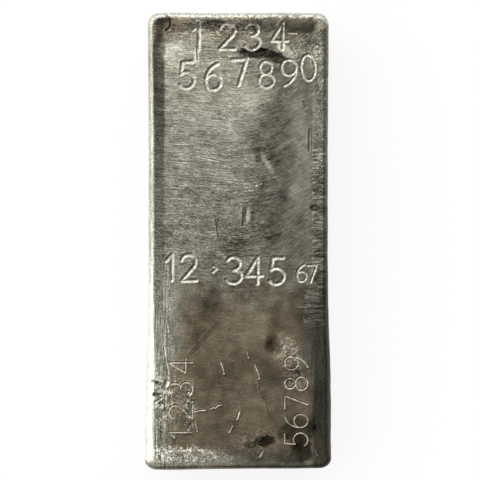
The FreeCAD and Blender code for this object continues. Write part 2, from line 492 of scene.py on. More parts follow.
def grid_lines(half, slope):
    """Places of the grid's lines from -half to half, crowded over the shoulder and its foot."""
    tilt = np.linspace(0, math.pi / 2, SHOULDER_ROWS + 1)
    slope_foot = SHOULDER + slope
    on_shoulder = SHOULDER * (1 - np.cos(tilt))
    on_slope = np.linspace(SHOULDER, slope_foot, SLOPE_ROWS + 1)[1:]
    creases = [SHOULDER + CREASE, slope_foot - CREASE, slope_foot + CREASE]
    edge = np.sort(np.concatenate([on_shoulder, on_slope, creases]))
    inner = half - edge[-1]
    count = round(2 * inner / CELL)
    middle = np.linspace(-inner, inner, count + 1)[1:-1]
    return np.concatenate([-half + edge, middle, (half - edge)[::-1]])


columns, rows = grid_lines(HALF_WIDTH, SIDE_SLOPE), grid_lines(HALF_LENGTH, HEAD_SLOPE)
print(f"{len(columns)} lines across the bar and {len(rows)} along it")

# %% [markdown]
# A square block of the grid at each corner is pulled in until its rim follows the rounding.

# %% The plan grid
CORNER_BLOCK = 12.0


def round_corner(x, y):
    """Moves a grid place near a corner in, so that the grid's rim follows the rounding."""
    a = (abs(x) - HALF_WIDTH + CORNER_BLOCK) / CORNER_BLOCK
    b = (abs(y) - HALF_LENGTH + CORNER_BLOCK) / CORNER_BLOCK
    if a <= 0 or b <= 0:
        return x, y
    radius = CORNER / CORNER_BLOCK
    centre = 1 - radius
    outer = max(a, b)
    if min(a, b) / outer <= centre:
        return x, y
    c, s = a / math.hypot(a, b), b / math.hypot(a, b)
    reach = centre * (c + s) + math.sqrt((centre * (c + s)) ** 2 - 2 * centre**2 + radius**2)
    pull = 1 + (reach * max(c, s) - 1) * outer**2
    new_x = HALF_WIDTH - CORNER_BLOCK + a * pull * CORNER_BLOCK
    new_y = HALF_LENGTH - CORNER_BLOCK + b * pull * CORNER_BLOCK
    return math.copysign(new_x, x), math.copysign(new_y, y)


bm = bmesh.new()
grid = [[bm.verts.new((*round_corner(x, y), 0)) for y in rows] for x in columns]
for left, right in zip(grid[:-1], grid[1:]):
    for j in range(len(rows) - 1):
        bm.faces.new((left[j], right[j], right[j + 1], left[j + 1]))
print(f"plan grid of {len(bm.faces)} cells")

# %% [markdown]
# Fine stamped grooves need smaller cells than the rest, so only the edges near a groove are
# divided, twice, which keeps the bar well under its budget of triangles. The outer edge is
# left whole, so that the walls can hang from it point by point.

# %% Smaller cells where the grooves are
DIVIDED_WITHIN = (1.5, 0.75)


def divide_near(reach):
    """Halves the cells whose edges come within reach of a groove's wall."""
    edges = [e for e in bm.edges if not e.is_boundary]
    middle = np.array([(e.verts[0].co + e.verts[1].co)[:2] for e in edges]) / 2
    x, y = middle.T
    chosen = np.zeros(len(edges), bool)
    for path, half_width, depth, shine in PATHS:
        near = np.nonzero(near_path(path, x, y, half_width + reach))[0]
        chosen[near] |= distance_to(path, x[near], y[near]) < half_width + reach
    bmesh.ops.subdivide_edges(
        bm, edges=[e for e, wanted in zip(edges, chosen) if wanted], cuts=1, use_grid_fill=True
    )


def walk_rim():
    """The points of the grid's outer edge, in order."""
    start = next(v for v in bm.verts if v.is_boundary)
    walked, edge = [start], next(e for e in start.link_edges if e.is_boundary)
    while edge.other_vert(walked[-1]) is not start:
        walked.append(edge.other_vert(walked[-1]))
        edge = next(e for e in walked[-1].link_edges if e.is_boundary and e is not edge)
    return walked


for reach in DIVIDED_WITHIN:
    divide_near(reach)
rim = walk_rim()
print(f"{len(bm.faces)} faces after dividing, {len(rim)} points round the rim")

# %% [markdown]
# ## The walls
#
# Below the shoulder the mould's walls lean in, and a small rounding meets the face that the
# bar rests on. Each ring of points is the rim moved in and down. The draft moves the corners'
# middles in and leaves their radius alone, as a mould does, and only the rounding at the
# bottom makes them tighter. The last ring lies flat inside the resting face, which one
# many-sided face then closes.

# %% Rings down the wall
DRAFT = math.radians(4.5)
HEEL = 3.0
WALL_ROWS = 18
HEEL_ROWS = 5
FLAT_BORDER = 2.0  # how far the last ring lies inside the resting face's edge


def wall_profile():
    """How far the draft and the rounding bring each ring in, and how high it lies."""
    top = HEIGHT - SHOULDER
    heel_top = HEEL * (1 + math.sin(DRAFT))
    heights = np.linspace(top, heel_top, WALL_ROWS + 1)[1:]
    rings = [((top - z) * math.tan(DRAFT), 0.0, z) for z in heights]
    wall_in = rings[-1][0]
    turn = np.linspace(-DRAFT, math.pi / 2, HEEL_ROWS + 1)[1:]
    for angle in turn:
        rounded = HEEL * (math.cos(DRAFT) - math.cos(angle))
        rings.append((wall_in, rounded, HEEL * (1 - math.sin(angle))))
    rings.append((wall_in, rounded + FLAT_BORDER, 0.0))
    return rings


RINGS = wall_profile()
above = rim
wall_faces = []
for _ in RINGS:
    below = [bm.verts.new(v.co) for v in rim]
    for k in range(len(rim)):
        after = (k + 1) % len(rim)
        wall_faces.append(bm.faces.new((above[k], below[k], below[after], above[after])))
    above = below
base_face = bm.faces.new(above)
bmesh.ops.recalc_face_normals(bm, faces=bm.faces)
bm.verts.index_update()
poured_count = len(bm.verts) - len(RINGS) * len(rim)
rim_index = np.array([v.index for v in rim])
print(f"{len(RINGS)} rings, {len(bm.verts)} points")

# %% [markdown]
# ## Moving every point to its place
#
# The mesh so far is flat. Its plan places are read once, the poured face gets its heights and
# the rings their insets, and then the whole bar is eased into its slightly uneven casting: a
# little wider at the foot, with a wall that was never ruled straight.

# %% Outward directions and the uneven casting
FLARE_START_LEFT, FLARE_LEFT = -1.1, 2.3
FLARE_START_RIGHT, FLARE_RIGHT = -1.15, 1.9
HEAD_TAPER = 0.5


def outline_normals(x, y):
    """Outward unit vectors of the outline nearest to each rim place."""
    beyond_x = np.abs(x) - HALF_WIDTH + CORNER
    beyond_y = np.abs(y) - HALF_LENGTH + CORNER
    corner = (beyond_x > 0) & (beyond_y > 0)
    side = beyond_x > beyond_y
    nx = np.where(corner, beyond_x, np.where(side, 1.0, 0.0)) * np.sign(x)
    ny = np.where(corner, beyond_y, np.where(side, 0.0, 1.0)) * np.sign(y)
    length = np.hypot(nx, ny)
    return nx / length, ny / length


def cast_unevenly(points):
    """Eases the true shape into the real bar's: wider at the foot and slightly wavy."""
    x, y, z = points.T
    flare_left = FLARE_START_LEFT + FLARE_LEFT * ease(-10, -125, y)
    flare_right = FLARE_START_RIGHT + FLARE_RIGHT * ease(-10, -100, y)
    flare = np.where(x < 0, flare_left, flare_right) - HEAD_TAPER * ease(130, 60, y)
    wave = 0.16 * bumps(y, z * 0.3, 14, 21) + 0.08 * bumps(y, z * 0.3, 4, 22)
    share = np.clip(np.abs(x) / HALF_WIDTH, 0, 1) ** 3
    new_x = x + np.sign(x) * share * (flare + wave)
    end_wave = 0.2 * bumps(x, z * 0.3, 17, 23) - 0.35
    end_wave = end_wave - np.where(y < 0, 0.7 * ease(-50, 36, x), 0)
    end_share = np.clip(np.abs(y) / HALF_LENGTH, 0, 1) ** 12
    new_y = y + np.sign(y) * end_share * end_wave
    return np.stack([new_x, new_y, z], axis=1)


sides = cast_unevenly(np.array([(HALF_WIDTH, y, HEIGHT) for y in (120.0, -120.0)]))[:, 0]
print(f"the right side is {sides[0]:.1f} mm out at the head and {sides[1]:.1f} at the foot")

# %% [markdown]
# The walls get level ripples, as the rising metal paused in the mould. Two numbers are kept for
# each point, for the finish to read: how deep it lies in a stamp, and how far in from the
# outline it is, which goes on below nought down the walls.

# %% Shape the bar
plan = np.array([v.co[:2] for v in bm.verts])
points = np.zeros((len(plan), 3))
points[:, :2] = plan
x, y = plan[:poured_count].T
points[:poured_count, 2], struck = strike(x, y, poured_height(x, y))
marks_depth = np.zeros(len(plan))
marks_depth[:poured_count] = struck
inset_depth = np.zeros(len(plan))
inset_depth[:poured_count] = inset(x, y)

rim_x, rim_y = plan[rim_index].T
normal_x, normal_y = outline_normals(rim_x, rim_y)
perimeter = np.hypot(np.diff(rim_x, append=rim_x[:1]), np.diff(rim_y, append=rim_y[:1])).cumsum()
middle_x, middle_y = rim_x - normal_x * CORNER, rim_y - normal_y * CORNER
for number, (drafted, rounded, z) in enumerate(RINGS):
    first = poured_count + number * len(rim)
    on_wall = ease(HEIGHT - SHOULDER, HEIGHT - SHOULDER - 6, z) * ease(0, 8, z)
    ripple = 0.12 * bumps(perimeter, np.full_like(perimeter, z * 2.2), 13, 31)
    ripple += 0.07 * bumps(perimeter, np.full_like(perimeter, z * 1.5), 5, 32)
    radius = CORNER - rounded + on_wall * (ripple - 0.1)
    ring_x = middle_x * (1 - drafted / (HALF_WIDTH - CORNER)) + normal_x * radius
    ring_y = middle_y * (1 - drafted / (HALF_LENGTH - CORNER)) + normal_y * radius
    points[first : first + len(rim)] = np.stack([ring_x, ring_y, np.full_like(ring_x, z)], 1)
    inset_depth[first : first + len(rim)] = z - HEIGHT + SHOULDER

points = cast_unevenly(points)
print("lowest and highest", points.min(0).round(2), points.max(0).round(2))

# %% [markdown]
# ## Unwrapping
#
# The poured face shows most, so it gets three fifths of the square. The walls are rolled out
# in two strips above it, and the resting face gets what is left.

# %% Texture places
BORDER = 0.01
FACE_START, FACE_SHARE = 0.008, 0.576
WALL_START, STRIP, GAP = 0.612, 0.15, 0.012
BASE_START, BASE_SHARE = 0.93, 0.06


def along_square(share):
    """A share of the square's width, kept just off its sides."""
    return BORDER + share * (1 - 2 * BORDER)


uv_layer = bm.loops.layers.uv.new("OFBake")
wall_set = set(wall_faces)
for face in bm.faces:
    if face in wall_set:
        continue
    for loop in face.loops:
        place = loop.vert.co
        if face is base_face:
            v = BASE_START + (0.5 + place.x / WIDTH) * BASE_SHARE
        else:
            v = FACE_START + (0.5 - place.x / WIDTH) * FACE_SHARE
        loop[uv_layer].uv = (along_square(place.y / LENGTH + 0.5), v)

half_rim = len(rim) // 2
for number, face in enumerate(wall_faces):
    k = number % len(rim)
    strip = min(k // half_rim, 1)
    for loop in face.loops:
        index = loop.vert.index
        if index < poured_count:
            depth_share, place = 0.0, k if loop.vert is rim[k] else k + 1
        else:
            ring, place = divmod(index - poured_count, len(rim))
            depth_share = (ring + 1) / len(RINGS)
        if place < k:
            place += len(rim)
        u = along_square((place - strip * half_rim) / (half_rim + 1))
        loop[uv_layer].uv = (u, WALL_START + strip * (STRIP + GAP) + depth_share * STRIP)


print(f"{FACE_SHARE + 2 * STRIP + BASE_SHARE:.0%} of the texture square is used")

# %% [markdown]
# Now the points go to their places and the mesh becomes an object. It stands for the whole
# bar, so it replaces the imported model's plain solid and rides on the same body.

# %% The finished skin
for vert, place in zip(bm.verts, points * MM):
    vert.co = place
for face in bm.faces:
    face.smooth = True
mesh = bpy.data.meshes.new("silver_bar_skin")
bm.to_mesh(mesh)
bm.free()
for name, values in (("struck", marks_depth), ("inset", inset_depth)):
    mesh.attributes.new(name, "FLOAT", "POINT").data.foreach_set("value", values)
triangles = sum(len(p.vertices) - 2 for p in mesh.polygons)
print(f"{triangles} triangles")
bar = bpy.data.objects.new("silver_bar_skin", mesh)
bpy.context.scene.collection.objects.link(bar)
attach(bar, "root")
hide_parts("silver_bar")

# %% [markdown]
# ## Small helpers for shader nodes
#
# A material is a graph of nodes. These two helpers add a node and fill one of its sockets.
# They work on `tree`, the node tree that is being built at the time.

# %% Adding and linking nodes
def put(kind, **settings):
    """Adds a node and sets its plain attributes."""
    node = tree.nodes.new(kind)
    for name, value in settings.items():
        setattr(node, name, value)
    return node


def feed(socket, value):
    """Links an output to a socket, or sets the socket to a plain value."""
    if isinstance(value, bpy.types.NodeSocket):
        tree.links.new(value, socket)
    else:
        socket.default_value = value


# %% [markdown]
# A graph is easier to read as a sum. Each of these helpers adds one node and gives back its
# output, so that a formula can be written as nested calls.

# %% Sums made of nodes
def math_node(operation, *values):
    """A Math node on one to three values."""
    node = put("ShaderNodeMath", operation=operation)
    for socket, value in zip(node.inputs, values):
        feed(socket, value)
    return node.outputs[0]


def add(a, b):
    """a plus b."""
    return math_node("ADD", a, b)


def less(a, b):
    """a minus b."""
    return math_node("SUBTRACT", a, b)


def times(a, b):
    """a times b."""
    return math_node("MULTIPLY", a, b)


def over(a, b):
    """a divided by b."""
    return math_node("DIVIDE", a, b)


def most(a, b):
    """The larger of a and b."""
    return math_node("MAXIMUM", a, b)


def times_add(a, b, c):
    """a times b, plus c."""
    return math_node("MULTIPLY_ADD", a, b, c)


def vectors(operation, *values):
    """A Vector Math node."""
    node = put("ShaderNodeVectorMath", operation=operation)
    for socket, value in zip(node.inputs, values):
        feed(socket, value)
    return node.outputs["Value" if operation in ("LENGTH", "DOT_PRODUCT") else "Vector"]


# %% [markdown]
# A smooth step turns a distance or a noise into a mask, a mix lays one tone over another, and
# a colour ramp turns a number into a colour.

# %% Masks, mixes, noise and ramps
def step(value, low, high, out_low=0.0, out_high=1.0):
    """A smooth step of value from low to high."""
    node = put("ShaderNodeMapRange", interpolation_type="SMOOTHSTEP", clamp=False)
    for socket, number in zip(node.inputs, (value, low, high, out_low, out_high)):
        feed(socket, number)
    return node.outputs[0]


def blend_values(share, a, b):
    """a where share is 0, b where it is 1."""
    node = put("ShaderNodeMix", data_type="FLOAT")
    feed(node.inputs[0], share)
    feed(node.inputs[2], a)
    feed(node.inputs[3], b)
    return node.outputs[0]


def blend_colours(share, a, b, blend_type="MIX"):
    """Colour a where share is 0, b where it is 1."""
    node = put("ShaderNodeMix", data_type="RGBA", blend_type=blend_type)
    feed(node.inputs[0], share)
    feed(node.inputs[6], a)
    feed(node.inputs[7], b)
    return node.outputs[2]


def noise(vector, scale, detail=3.0, roughness=0.55):
    """A noise texture."""
    node = put("ShaderNodeTexNoise")
    settings = {"Vector": vector, "Scale": scale, "Detail": detail, "Roughness": roughness}
    for name, value in settings.items():
        feed(node.inputs[name], value)
    return node


def cloud(*settings):
    """The strength of a noise, between about 0 and 1."""
    return noise(*settings).outputs["Fac"]


def read_ramp(value, stops):
    """The colour that a ramp with stops of (position, colour) gives a value."""
    node = put("ShaderNodeValToRGB")
    elements = node.color_ramp.elements
    while len(elements) < len(stops):
        elements.new(0.5)
    for element, (position, colour) in zip(elements, stops):
        element.position = position
        element.color = colour
    feed(node.inputs[0], value)
    return node.outputs[0]


# %% [markdown]
# An effect that is used many times is built once as a node group with named inputs, and each
# use of it only sets those inputs.

# %% Making and using node groups
FLOAT, VECTOR = "NodeSocketFloat", "NodeSocketVector"


def new_group(name, inputs, outputs):
    """A shader node group with named inputs and outputs, and its two end nodes."""
    group = bpy.data.node_groups.new(name, "ShaderNodeTree")
    for socket, kind in inputs.items():
        group.interface.new_socket(socket, in_out="INPUT", socket_type=kind)
    for socket, kind in outputs.items():
        group.interface.new_socket(socket, in_out="OUTPUT", socket_type=kind)
    return group, group.nodes.new("NodeGroupInput"), group.nodes.new("NodeGroupOutput")


def use_group(group, **values):
    """Places a group, fills its inputs and gives back its only output."""
    node = put("ShaderNodeGroup", node_tree=group)
    for name, value in values.items():
        feed(node.inputs[name], value)
    return node.outputs[0]


def report(made):
    """Prints how many nodes the tree holds once something has been made in it."""
    print(f"{made}: {len(tree.nodes)} nodes so far")


# %% [markdown]
# ## Brush lines
#
# The face was wire-brushed by hand. The strokes run across the bar, nearly level on the left
# and swinging upwards on the right. Noise that is stretched along the stroke gives fine lines,
# and bending the places before the noise reads them bends the lines.

# %% The brushed group
tree, given, out = new_group(
    "brushed lines",
    {"Place": VECTOR, "Stroke": FLOAT, "Pitch": FLOAT, "Seed": FLOAT},
    {"Lines": FLOAT},
)
brushed = tree
apart = put("ShaderNodeSeparateXYZ")
feed(apart.inputs[0], given.outputs["Place"])
swing = most(add(apart.outputs[0], 6.0), 0.0)
bend = times(times(swing, swing), -0.0075)
level = add(apart.outputs[1], times(apart.outputs[0], 0.06))
wander = times(cloud(given.outputs["Place"], 0.035, 1.0), 4.0)
height = add(add(level, bend), wander)
together = put("ShaderNodeCombineXYZ")
feed(together.inputs[0], over(apart.outputs[0], given.outputs["Stroke"]))
feed(together.inputs[1], over(height, given.outputs["Pitch"]))
feed(together.inputs[2], given.outputs["Seed"])
lines = cloud(together.outputs[0], 1.0, 2.0)
feed(out.inputs["Lines"], step(lines, 0.25, 0.75))
report("the brushed group")

# %% [markdown]
# ## Ragged patches
#
# Stains, scorched spots, places rubbed bright and painted highlights and glints are all ovals with
# ragged edges. One group makes the mask of such an oval. It is used once for each place, with the
# place's own middle, size, turn and softness.

# %% The ragged patch group
tree, given, out = new_group(
    "ragged patch",
    {
        "Place": VECTOR, "Warp": VECTOR, "Middle": VECTOR, "Size": VECTOR,
        "Turn": FLOAT, "Soft": FLOAT, "Ragged": FLOAT,
    },
    {"Mask": FLOAT},
)
patch = tree
torn_by = put("ShaderNodeVectorMath", operation="SCALE")
feed(torn_by.inputs[0], given.outputs["Warp"])
feed(torn_by.inputs["Scale"], given.outputs["Ragged"])
torn_place = vectors("ADD", torn_by.outputs[0], given.outputs["Place"])
shift = vectors("SUBTRACT", torn_place, given.outputs["Middle"])
turned = put("ShaderNodeVectorRotate", rotation_type="Z_AXIS")
feed(turned.inputs["Vector"], shift)
feed(turned.inputs["Angle"], times(given.outputs["Turn"], -1.0))
unit = vectors("DIVIDE", turned.outputs[0], given.outputs["Size"])
flat = vectors("MULTIPLY", unit, (1.0, 1.0, 0.0))
radius = vectors("LENGTH", flat)
outer = add(1.0, given.outputs["Soft"])
inner = less(1.0, given.outputs["Soft"])
feed(out.inputs["Mask"], step(radius, outer, inner))
report("the ragged patch group")

# %% [markdown]
# ## The silver
#
# Polished silver is nearly white, but this face is dull: brushed, oiled and tarnished. Its
# tone is built up as one number from dark to light, and a colour ramp turns that number into
# the warm grey of the metal. Building one number keeps all the layers on one scale.

# %% The cast silver material
silver = bpy.data.materials.new("cast silver")
silver.use_nodes = True
tree = silver.node_tree
tree.nodes.clear()
surface = put("ShaderNodeBsdfPrincipled")
output = put("ShaderNodeOutputMaterial")
tree.links.new(surface.outputs[0], output.inputs[0])
surface.inputs["Metallic"].default_value = 1.0

object_place = put("ShaderNodeTexCoord").outputs["Object"]
place = vectors("MULTIPLY", object_place, (1 / MM, 1 / MM, 1 / MM))
apart = put("ShaderNodeSeparateXYZ")
feed(apart.inputs[0], place)
across, along, up = apart.outputs
inset_in = put("ShaderNodeAttribute", attribute_name="inset").outputs["Fac"]
struck_in = put("ShaderNodeAttribute", attribute_name="struck").outputs["Fac"]
report("the silver's start")

# %% [markdown]
# One noise tears the edge of every patch. Its colour is taken apart and put together again,
# because a colour that is plugged straight into a vector socket makes Cycles work out every
# patch's other half first, and it then runs out of room for the values it holds.

# %% The tearing noise
warp_noise = noise(place, 0.32, 6.0, 0.7)
warp_parts = put("ShaderNodeSeparateColor")
feed(warp_parts.inputs[0], warp_noise.outputs["Color"])
warp_together = put("ShaderNodeCombineXYZ")
warp_along_x, warp_along_y, warp_along_z = [less(part, 0.5) for part in warp_parts.outputs]
for socket, value in zip(warp_together.inputs, (warp_along_x, warp_along_y, warp_along_z)):
    feed(socket, value)
warp = warp_together.outputs[0]
report("the tearing noise")

# %% [markdown]
# The other patterns are read many times below: three widths of brush line, and noises from a
# fine speckle to a slow mottle. Stretched noise gives the upright streaks.

# %% Patterns on the metal
fine = use_group(brushed, Place=place, Stroke=3.2, Pitch=0.33, Seed=1.0)
medium = use_group(brushed, Place=place, Stroke=13.0, Pitch=0.9, Seed=3.0)
broad = use_group(brushed, Place=place, Stroke=30.0, Pitch=3.2, Seed=5.0)
speckle = cloud(place, 2.0, 2.0, 0.8)
mottle = cloud(place, 0.14, 5.0, 0.62)
crunch = cloud(place, 1.0, 3.0, 0.8)
chunks = cloud(place, 0.5, 4.0, 0.75)
upright = cloud(vectors("MULTIPLY", place, (1.6, 0.09, 0.3)), 1.0, 3.0, 0.65)
report("patterns")

# %% [markdown]
# The broad tones come first. The head half is paler on the left, partly cleaner brushed metal and
# partly painted light from the upper left, and the foot half is under a smooth brown tarnish. The
# tone is about the brightness the eye sees, so 0.6 is a pale grey and 0.3 a dark one.

# %% Broad tones
def centred(value, amount):
    """A 0 to 1 pattern made to swing about 0 by amount."""
    return times(less(value, 0.5), amount)


ragged_across = add(across, centred(mottle, 16.0))
ragged_along = add(along, centred(mottle, 40.0))
left_light_share = step(ragged_across, 22.0, -2.0)
head_share = step(ragged_along, -40.0, 96.0)
# Painted light: the upper left of the face is lifted, as the light falls from that side.
tone = times_add(left_light_share, times(head_share, 0.13), 0.38)
report("broad tones")

# %% [markdown]
# Each stain, scorched spot, rubbed place and painted highlight is one row: an oval, how soft and
# ragged its edge is, and how strongly it pulls the tone to its own. Later rows lie over earlier ones.

# %% Stains and rubbed places
# x, y, half width, half length, turn, softness, raggedness, strength, tone
PATCHES = [
    (22.0, 64.0, 7.0, 24.0, 14, 0.6, 1.0, 0.8, 0.31),
    (12.0, 57.0, 4.0, 9.0, 20, 0.6, 1.0, 0.8, 0.31),
    (22.0, 14.0, 12.0, 16.0, -20, 0.6, 1.0, 0.8, 0.29),
    (-4.0, 2.0, 6.0, 10.0, 0, 0.6, 1.0, 0.6, 0.34),
    (39.0, 50.0, 5.0, 40.0, 6, 0.7, 0.8, 0.8, 0.5),
    (-33.0, 0.0, 12.0, 34.0, 0, 0.7, 0.9, 0.7, 0.47),
    (-16.0, 74.0, 20.0, 12.0, 0, 0.7, 1.0, 0.7, 0.56),
    (8.0, 85.0, 14.0, 8.0, 8, 0.6, 1.0, 0.7, 0.61),
    (-37.5, 110.0, 6.0, 8.0, -10, 0.35, 1.2, 0.9, 0.66),
    (-24.0, 100.0, 16.0, 10.0, -10, 0.6, 1.2, 0.6, 0.55),
    (16.0, 117.0, 14.0, 9.0, -10, 0.6, 1.3, 0.6, 0.45),
    (11.0, 111.0, 10.5, 3.3, -6, 0.15, 1.3, 1.0, 0.13),
    (22.5, 108.0, 7.5, 3.2, -16, 0.15, 0.8, 1.0, 0.15),
    (28.0, 112.2, 6.5, 2.8, -42, 0.2, 0.9, 0.95, 0.74),
    (-44.0, 126.0, 8.0, 7.0, 0, 0.4, 1.4, 0.8, 0.36),
    (-26.0, 129.0, 14.0, 2.6, 0, 0.3, 1.6, 0.85, 0.5),
    (-14.0, 127.0, 8.0, 3.4, -10, 0.3, 1.4, 0.9, 0.3),
    (-6.0, 120.0, 9.0, 4.6, 20, 0.4, 1.4, 0.8, 0.36),
    (7.0, 126.6, 9.0, 4.4, 0, 0.3, 1.4, 0.9, 0.33),
    (20.0, 128.6, 6.0, 2.4, 0, 0.3, 1.6, 0.8, 0.42),
    (36.0, 128.4, 8.0, 3.0, 0, 0.3, 1.6, 0.9, 0.42),
    # A painted highlight where the rounded top-right corner catches the light.
    (48.5, 129.0, 4.0, 4.0, 0, 0.4, 1.0, 0.6, 0.72),
    (38.0, 108.0, 11.0, 9.0, 0, 0.5, 1.2, 0.8, 0.42),
    (-16.6, -40.0, 5.0, 11.0, -15, 0.7, 0.7, 0.9, 0.24),
    (-25.0, -50.0, 9.0, 13.0, -35, 0.7, 0.8, 0.8, 0.31),
    (3.0, -27.0, 8.0, 6.0, 0, 0.6, 1.0, 0.8, 0.31),
    (9.0, -51.0, 12.0, 12.0, 0, 0.45, 0.7, 0.8, 0.44),
    (-6.0, -58.0, 8.0, 14.0, -20, 0.7, 1.0, 0.6, 0.41),
    (21.0, -48.0, 3.0, 14.0, -12, 0.6, 1.2, 0.7, 0.3),
    (-14.0, -78.0, 16.0, 9.0, -20, 0.7, 1.0, 0.7, 0.34),
    (10.0, -72.0, 12.0, 5.0, -30, 0.6, 1.0, 0.7, 0.32),
    (27.0, -64.0, 7.0, 10.0, 15, 0.4, 1.2, 0.8, 0.49),
    (20.0, -60.8, 3.4, 4.6, -15, 0.7, 2.0, 0.9, 0.17),
    (28.0, -79.0, 10.0, 4.0, 10, 0.5, 1.2, 0.7, 0.27),
    (6.0, -98.0, 9.0, 11.0, 0, 0.6, 1.0, 0.7, 0.43),
    (20.0, -100.0, 8.0, 12.0, -15, 0.6, 1.0, 0.6, 0.41),
    (-6.0, -108.0, 9.0, 9.0, 0, 0.6, 1.0, 0.6, 0.33),
    (-24.4, 109.0, 1.7, 5.4, 2, 0.3, 0.6, 0.9, 0.72),
    (15.6, -117.6, 6.0, 3.2, 8, 0.2, 0.8, 0.97, 0.16),
    (7.0, -119.6, 4.0, 2.2, 0, 0.3, 1.0, 0.9, 0.22),
    (30.0, -112.0, 6.6, 4.6, 20, 0.4, 1.6, 0.9, 0.21),
    (38.0, -109.0, 9.0, 6.0, -20, 0.4, 1.6, 0.8, 0.24),
    (43.5, -111.0, 2.6, 6.0, 0, 0.3, 1.4, 0.8, 0.2),
    (37.4, -121.0, 6.6, 6.6, 10, 0.4, 1.6, 0.9, 0.17),
    (35.0, -127.4, 9.0, 3.2, 10, 0.25, 1.4, 0.85, 0.17),
    (46.5, -122.0, 3.6, 9.0, 0, 0.4, 0.8, 0.9, 0.5),
    (16.0, -127.0, 14.0, 5.0, 4, 0.5, 1.0, 0.8, 0.31),
    (-30.0, -126.5, 26.0, 5.0, -3, 0.5, 1.8, 0.8, 0.6),
    (-46.0, -94.0, 6.0, 18.0, 0, 0.5, 1.6, 0.7, 0.53),
    (-37.0, -68.0, 8.0, 50.0, 0, 0.6, 0.8, 0.6, 0.46),
    (38.0, -38.0, 7.0, 12.0, 0, 0.5, 1.0, 0.8, 0.28),
    (47.5, 12.0, 5.0, 22.0, 0, 0.5, 1.0, 0.7, 0.32),
    (45.0, 19.5, 2.9, 1.9, 0, 0.25, 0.5, 0.95, 0.14),
    (20.0, 54.6, 5.0, 1.8, 0, 0.3, 0.9, 0.8, 0.3),
    (12.0, 51.6, 2.0, 5.0, 0, 0.4, 0.9, 0.8, 0.29),
    (24.0, 44.0, 4.0, 6.0, 30, 0.4, 0.9, 0.7, 0.31),
    (17.2, 45.6, 1.5, 7.0, 30, 0.4, 0.6, 0.85, 0.56),
    (27.0, 57.0, 1.6, 7.0, -50, 0.5, 0.6, 0.6, 0.5),
    (17.0, 26.0, 9.0, 14.0, -25, 0.5, 0.8, 0.7, 0.32),
    (33.0, 24.0, 4.5, 26.0, -12, 0.6, 0.8, 0.7, 0.46),
    (20.0, 4.0, 5.0, 5.0, 0, 0.5, 0.9, 0.8, 0.25),
    (0.0, -4.0, 6.0, 7.0, -20, 0.5, 1.0, 0.8, 0.27),
    (47.0, 40.0, 3.8, 22.0, 0, 0.4, 0.8, 0.7, 0.34),
]


def oval_mask(x, y, wide, tall, turn, soft, ragged):
    """Where a ragged oval covers the face."""
    return use_group(
        patch, Place=place, Warp=warp, Middle=(x, y, 0.0), Size=(wide, tall, 1.0),
        Turn=math.radians(turn), Soft=soft, Ragged=ragged * min(wide, tall),
    )


PATCH_RAGGED = 1.4
for x, y, wide, tall, turn, soft, ragged, strength, target in PATCHES:
    mask = oval_mask(x, y, wide, tall, turn, soft, PATCH_RAGGED * ragged)
    tone = blend_values(times(mask, strength), tone, target)
report(f"{len(PATCHES)} stains and rubbed places")

# %% [markdown]
# Over the broad tones go the brush lines, with a few brighter cuts among them. They fade
# towards the foot, where the skin was left as it came, and a fine speckle takes over.

# %% Brush lines and speckle
brushed_share = step(along, -42.0, 0.0, 0.3, 1.0)
brushed_share = times(brushed_share, step(ragged_across, 10.0, 30.0, 1.0, 0.55))
cuts = use_group(brushed, Place=place, Stroke=14.0, Pitch=0.42, Seed=11.0)
cuts = times(step(cuts, 0.78, 0.98), brushed_share)
tone = times_add(cuts, 0.16, tone)
lines_sum = add(centred(fine, 0.3), centred(medium, 0.16))
lines_sum = add(lines_sum, centred(broad, 0.08))
tone = times_add(lines_sum, brushed_share, tone)
grain = times(step(ragged_across, 26.0, -4.0, 0.4, 0.9), step(along, -45.0, -10.0, 0.5, 1.0))
tone = times_add(centred(speckle, 1.0), grain, tone)
tone = add(tone, centred(mottle, 0.34))

# Sparse cuts that cross the brush lines.
crossing_place = put("ShaderNodeVectorRotate", rotation_type="Z_AXIS")
feed(crossing_place.inputs["Vector"], place)
feed(crossing_place.inputs["Angle"], math.radians(38))
crossing = use_group(brushed, Place=crossing_place.outputs[0], Stroke=7.0, Pitch=0.5, Seed=8.0)
crossing = times(step(crossing, 0.72, 0.95), brushed_share)
tone = times_add(crossing, 0.13, tone)
report("brush lines and speckle")

# %% [markdown]
# Down the left edge the foot half is streaked lengthways, with a painted highlight that grows towards
# the foot, where the edge rolls towards the light. The head half has a smooth slope under its rim,
# which the brush passed over, painted darker as shade because it faces away from the light.

# %% Left streaks and slope
left_edge = step(across, -30.0, -43.0)
low_half = step(along, 10.0, -30.0)
streaked = times(times(left_edge, low_half), 0.5)
streaks = add(centred(upright, 2.0), centred(crunch, 1.3))
tone = times_add(streaks, streaked, tone)
# Painted highlight: the left roll of the foot, which faces the light, is lifted more towards the
# foot.
tone = times_add(streaked, step(along, -92.0, -66.0, 0.04, 0.22), tone)

edge_crumbs = times(centred(crunch, 1.0), step(along, 84.0, 44.0, 1.4, 5.5))
band_edge = add(across, add(centred(mottle, 1.6), edge_crumbs))
# Painted shade on the slope under the left rim of the head half, which faces away from the light.
shaded_slope = times(step(band_edge, -42.6, -43.8), step(along, 10.0, 95.0))
shaded_slope = times(shaded_slope, step(along, 128.0, 106.0, 0.2, 1.0))
tone = times(tone, times_add(shaded_slope, -0.3, 1.0))
report("left streaks and slope")

# %% [markdown]
# Down the right of the foot half runs a dark band with a torn edge that was never brushed.

# %% The band that was never brushed
torn_across = times_add(warp_along_x, 9.0, across)
torn_across = times_add(step(along, -90.0, -64.0), 5.5, torn_across)
right_band = times(step(torn_across, 43.8, 45.2), step(along, -14.0, -34.0))
right_band = times(right_band, step(along, -128.0, -110.0, 0.3, 1.0))
band_tone = add(add(0.38, centred(speckle, 0.5)), centred(upright, 0.4))
tone = blend_values(times(right_band, 0.85), tone, band_tone)
report("the band that was never brushed")
